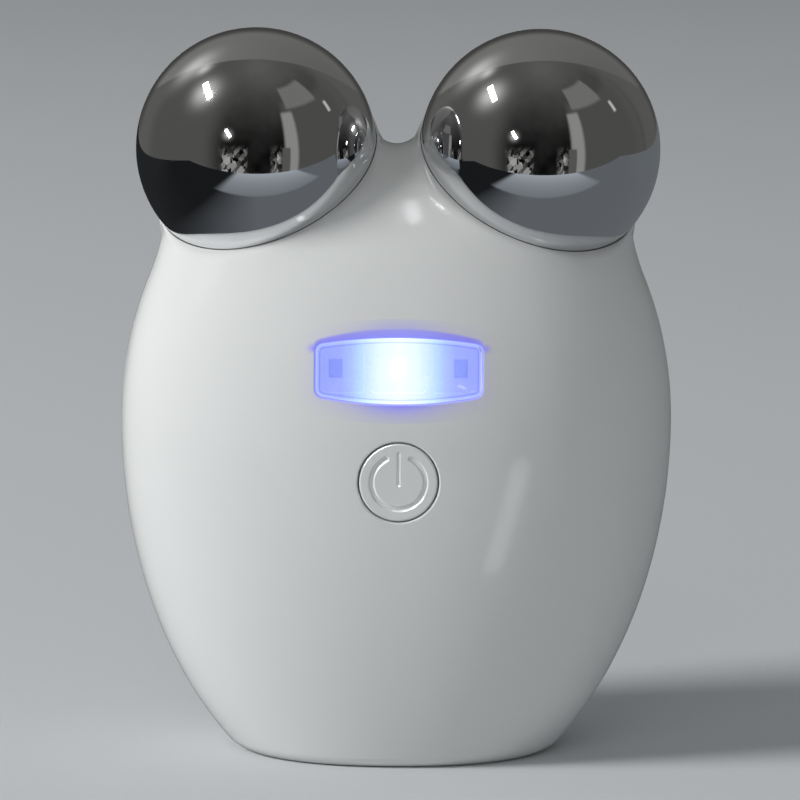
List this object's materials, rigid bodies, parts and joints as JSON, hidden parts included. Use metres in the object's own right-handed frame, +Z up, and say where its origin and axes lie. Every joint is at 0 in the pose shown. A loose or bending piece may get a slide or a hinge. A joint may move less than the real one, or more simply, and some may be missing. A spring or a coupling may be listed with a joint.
{
  "type": "facial toning device",
  "caption": "Handheld facial toning device: two chrome ball electrodes held in leaning sockets on a white egg-shaped body with a lit status window, a round power button and a flat base.",
  "frame": {"origin": "centre of the flat base, on the surface it stands on", "axes": "+Z up, -Y towards the front with the button and window, +X to the viewer's right"},
  "size_m": [0.0648, 0.0392, 0.0851],
  "materials": {
    "white_body": "gloss white moulded shell",
    "white_button": "gloss white cap with an engraved ring and bar",
    "soft_plug": "soft white plug",
    "chrome_ball": "polished chrome plate",
    "dark_plastic": "dark grey moulding",
    "black_plastic": "black moulding",
    "grey_plastic": "light grey moulding",
    "cream_plastic": "cream moulding",
    "clear_window": "clear polished plastic with a faint blue haze",
    "light_off": "unlit lamp",
    "light_blue": "lit lamp, blue",
    "switch_red": "dark red moulding",
    "circuit_board": "green solder mask",
    "chip_black": "black epoxy",
    "ferrite": "dark ferrite",
    "ceramic": "tan ceramic",
    "brass_leaf": "bare brass strip",
    "tinned_lug": "tinned",
    "steel_screw": "zinc plated",
    "port_steel": "bright tinned steel",
    "foil_cell": "foil pouch",
    "foam_pad": "soft foam",
    "lead_red": "red insulation",
    "lead_black": "black insulation",
    "lead_white": "white insulation"
  },
  "bodies": {
    "housing": {"front_shell": "white_body", "rear_shell": "white_body", "left_electrode": "chrome_ball", "right_electrode": "chrome_ball", "left_electrode_plug": "dark_plastic", "right_electrode_plug": "dark_plastic", "left_contact_leaf": "brass_leaf", "right_contact_leaf": "brass_leaf", "left_terminal": "tinned_lug", "right_terminal": "tinned_lug", "electrode_screws": "steel_screw", "chassis": "grey_plastic", "case_screws": "steel_screw", "screw_plugs": "soft_plug", "status_window": "clear_window", "light_shroud": "black_plastic", "left_light": "light_off", "centre_light": "light_blue", "right_light": "light_off", "switch_body": "black_plastic", "main_board": "circuit_board", "board_screws": "steel_screw", "controller_chip": "chip_black", "charger_chip": "chip_black", "boost_inductor": "ferrite", "capacitors": "ceramic", "buzzer": "black_plastic", "battery_connector": "cream_plastic", "battery_cell": "foil_cell", "battery_pad": "foam_pad", "battery_lead_red": "lead_red", "battery_lead_black": "lead_black", "left_electrode_lead": "lead_white", "right_electrode_lead": "lead_black", "charge_board": "circuit_board", "charge_board_screws": "steel_screw", "charge_port": "port_steel", "port_tongue": "black_plastic", "charge_leads": "lead_red"},
    "button": {"power_button": "white_button"},
    "plunger": {"switch_plunger": "switch_red"}
  },
  "joints": [
    {"name": "button_press", "type": "slide", "parent": "housing", "child": "button", "axis": [0, 1, 0], "range_m": [0, 0.0003], "stiffness_N_per_m": 600, "springref_m": -0.0004},
    {"name": "plunger_press", "type": "slide", "parent": "housing", "child": "plunger", "axis": [0, 1, 0], "range_m": [0, 0.0003]}
  ],
  "couplings": [
    {"joint": "plunger_press", "follows": "button_press", "ratio": 1}
  ]
}
